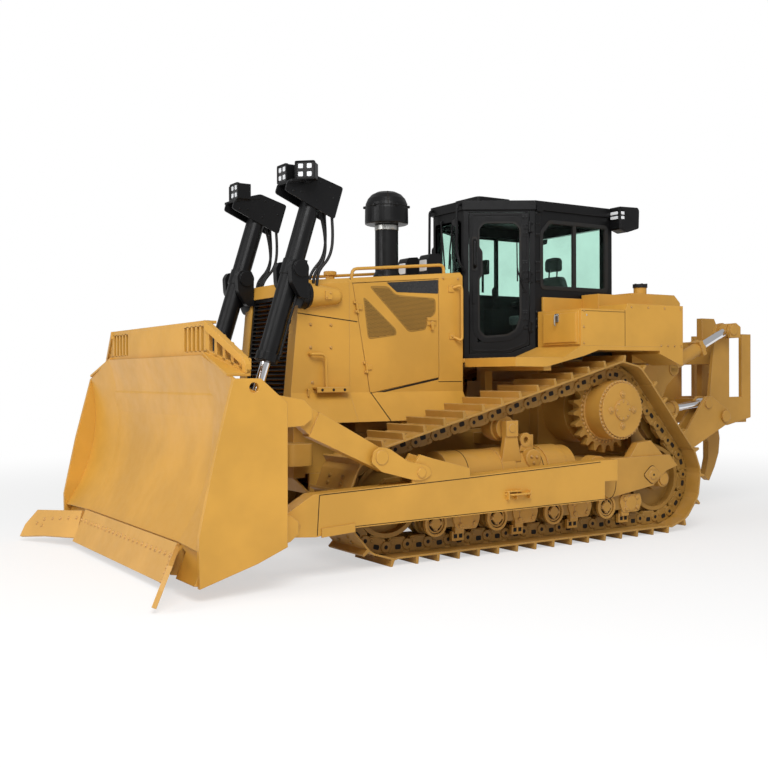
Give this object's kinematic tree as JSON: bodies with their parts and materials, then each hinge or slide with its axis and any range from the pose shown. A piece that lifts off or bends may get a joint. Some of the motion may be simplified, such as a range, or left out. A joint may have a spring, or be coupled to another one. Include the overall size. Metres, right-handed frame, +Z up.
{
  "type": "crawler bulldozer with ripper",
  "caption": "High-drive crawler bulldozer with a semi-U blade on push arms, angled-door cab and a parallel-link rear ripper; blade, ripper and doors move.",
  "frame": {"origin": "on the ground under the middle of the overall length, on the machine's centre plane", "axes": "+X forward toward the blade, +Y to the machine's left, +Z up"},
  "size_m": [8.9015, 4.1426, 3.8032],
  "materials": {
    "body_yellow": "satin",
    "frame_yellow": "satin",
    "black_paint": "satin",
    "track_steel": "worn matt",
    "chrome": "polished",
    "window": "clear",
    "trim": "matt",
    "upholstery": "woven",
    "lamp_black": "matt"
  },
  "bodies": {
    "chassis": {"main_frame": "frame_yellow", "belly_guard": "frame_yellow", "engine_block": "frame_yellow", "radiator_guard": "body_yellow", "grille": "black_paint", "hood": "body_yellow", "handrails": "body_yellow", "intake_stack": "black_paint", "cab_shell": "black_paint", "cab_roof": "black_paint", "cab_glass": "window", "seat": "upholstery", "console": "trim", "platforms": "body_yellow", "side_tanks": "body_yellow", "tank_doors": "body_yellow", "fuel_tank": "body_yellow", "cab_lamps": "lamp_black", "final_drives": "frame_yellow", "sprockets": "track_steel", "roller_frames": "frame_yellow", "idlers": "track_steel", "track_rollers": "track_steel", "carrier_rollers": "frame_yellow", "track_left": "track_steel", "track_right": "track_steel", "ripper_bracket": "frame_yellow"},
    "blade_frame": {"push_arms": "body_yellow", "mouldboard": "body_yellow", "blade_side_plates": "body_yellow", "rock_guard": "body_yellow", "cutting_edge": "body_yellow", "tilt_brace": "body_yellow", "tilt_cylinder": "black_paint"},
    "lift_barrel_l": {"lift_barrel_left": "black_paint"},
    "lift_barrel_r": {"lift_barrel_right": "black_paint"},
    "lift_rod_l": {"lift_rod_left": "chrome"},
    "lift_rod_r": {"lift_rod_right": "chrome"},
    "cab_door_l": {"cab_door_left": "black_paint", "door_glass_left": "window"},
    "cab_door_r": {"cab_door_right": "black_paint", "door_glass_right": "window"},
    "engine_door_l": {"engine_door_left": "body_yellow"},
    "engine_door_r": {"engine_door_right": "body_yellow"},
    "ripper_arms": {"ripper_link": "frame_yellow"},
    "ripper_carriage": {"ripper_beam": "frame_yellow", "ripper_shank": "track_steel"},
    "ripper_pitch": {"ripper_pitch_cylinders": "frame_yellow"},
    "ripper_barrels": {"ripper_lift_barrels": "frame_yellow"},
    "ripper_rods": {"ripper_lift_rods": "chrome"}
  },
  "joints": [
    {"name": "blade_lift", "type": "hinge", "parent": "chassis", "child": "blade_frame", "pos_m": [-0.635, 0, 0.771], "axis": [0, 1, 0], "range_deg": [-17.5, 7.5]},
    {"name": "lift_swing_left", "type": "hinge", "parent": "chassis", "child": "lift_barrel_l", "pos_m": [2.525, 0.605, 2.778], "axis": [0, 1, 0], "range_deg": [-11, 5]},
    {"name": "lift_stroke_left", "type": "slide", "parent": "lift_barrel_l", "child": "lift_rod_l", "axis": [0.3011, 0, -0.9536], "range_m": [-1.13, 0.49]},
    {"name": "cab_door_left", "type": "hinge", "parent": "chassis", "child": "cab_door_l", "pos_m": [-0.36957, 0.69987, 2.8], "axis": [0, 0, 1], "range_deg": [0, 78]},
    {"name": "engine_door_left", "type": "hinge", "parent": "chassis", "child": "engine_door_l", "pos_m": [1.643, 0.616, 1.59], "axis": [-0.1782, 0, -0.984], "range_deg": [0, 100]},
    {"name": "lift_swing_right", "type": "hinge", "parent": "chassis", "child": "lift_barrel_r", "pos_m": [2.525, -0.605, 2.778], "axis": [0, 1, 0], "range_deg": [-11, 5]},
    {"name": "lift_stroke_right", "type": "slide", "parent": "lift_barrel_r", "child": "lift_rod_r", "axis": [0.3011, 0, -0.9536], "range_m": [-1.13, 0.49]},
    {"name": "cab_door_right", "type": "hinge", "parent": "chassis", "child": "cab_door_r", "pos_m": [-0.36957, -0.69987, 2.8], "axis": [0, 0, -1], "range_deg": [0, 78]},
    {"name": "engine_door_right", "type": "hinge", "parent": "chassis", "child": "engine_door_r", "pos_m": [1.643, -0.616, 1.59], "axis": [0.1782, 0, 0.984], "range_deg": [0, 100]},
    {"name": "ripper_lift", "type": "hinge", "parent": "chassis", "child": "ripper_arms", "pos_m": [-2.53, 0, 0.72], "axis": [0, 1, 0], "range_deg": [-48, 12]},
    {"name": "ripper_beam_level", "type": "hinge", "parent": "ripper_arms", "child": "ripper_carriage", "pos_m": [-3.69, 0, 1.23], "axis": [0, 1, 0], "range_deg": [-12.5, 48.5]},
    {"name": "ripper_pitch_swing", "type": "hinge", "parent": "chassis", "child": "ripper_pitch", "pos_m": [-2.68, 0, 1.83], "axis": [0, 1, 0], "range_deg": [-48.5, 12.5]},
    {"name": "ripper_lift_swing", "type": "hinge", "parent": "chassis", "child": "ripper_barrels", "pos_m": [-2.08, 0, 1.275], "axis": [0, 1, 0], "range_deg": [-32, 8.5]},
    {"name": "ripper_lift_stroke", "type": "slide", "parent": "ripper_barrels", "child": "ripper_rods", "axis": [-0.9953, 0, 0.0964], "range_m": [-0.11, 0.42]}
  ],
  "couplings": [
    {"joint": "lift_swing_left", "follows": "blade_lift", "ratio": 0.5942},
    {"joint": "lift_stroke_left", "follows": "blade_lift", "m_per_rad": 3.6667},
    {"joint": "lift_swing_right", "follows": "blade_lift", "ratio": 0.5942},
    {"joint": "lift_stroke_right", "follows": "blade_lift", "m_per_rad": 3.6667},
    {"joint": "ripper_beam_level", "follows": "ripper_lift", "ratio": -1},
    {"joint": "ripper_pitch_swing", "follows": "ripper_lift", "ratio": 1},
    {"joint": "ripper_lift_swing", "follows": "ripper_lift", "ratio": 0.6549},
    {"joint": "ripper_lift_stroke", "follows": "ripper_lift", "m_per_rad": -0.4943}
  ]
}
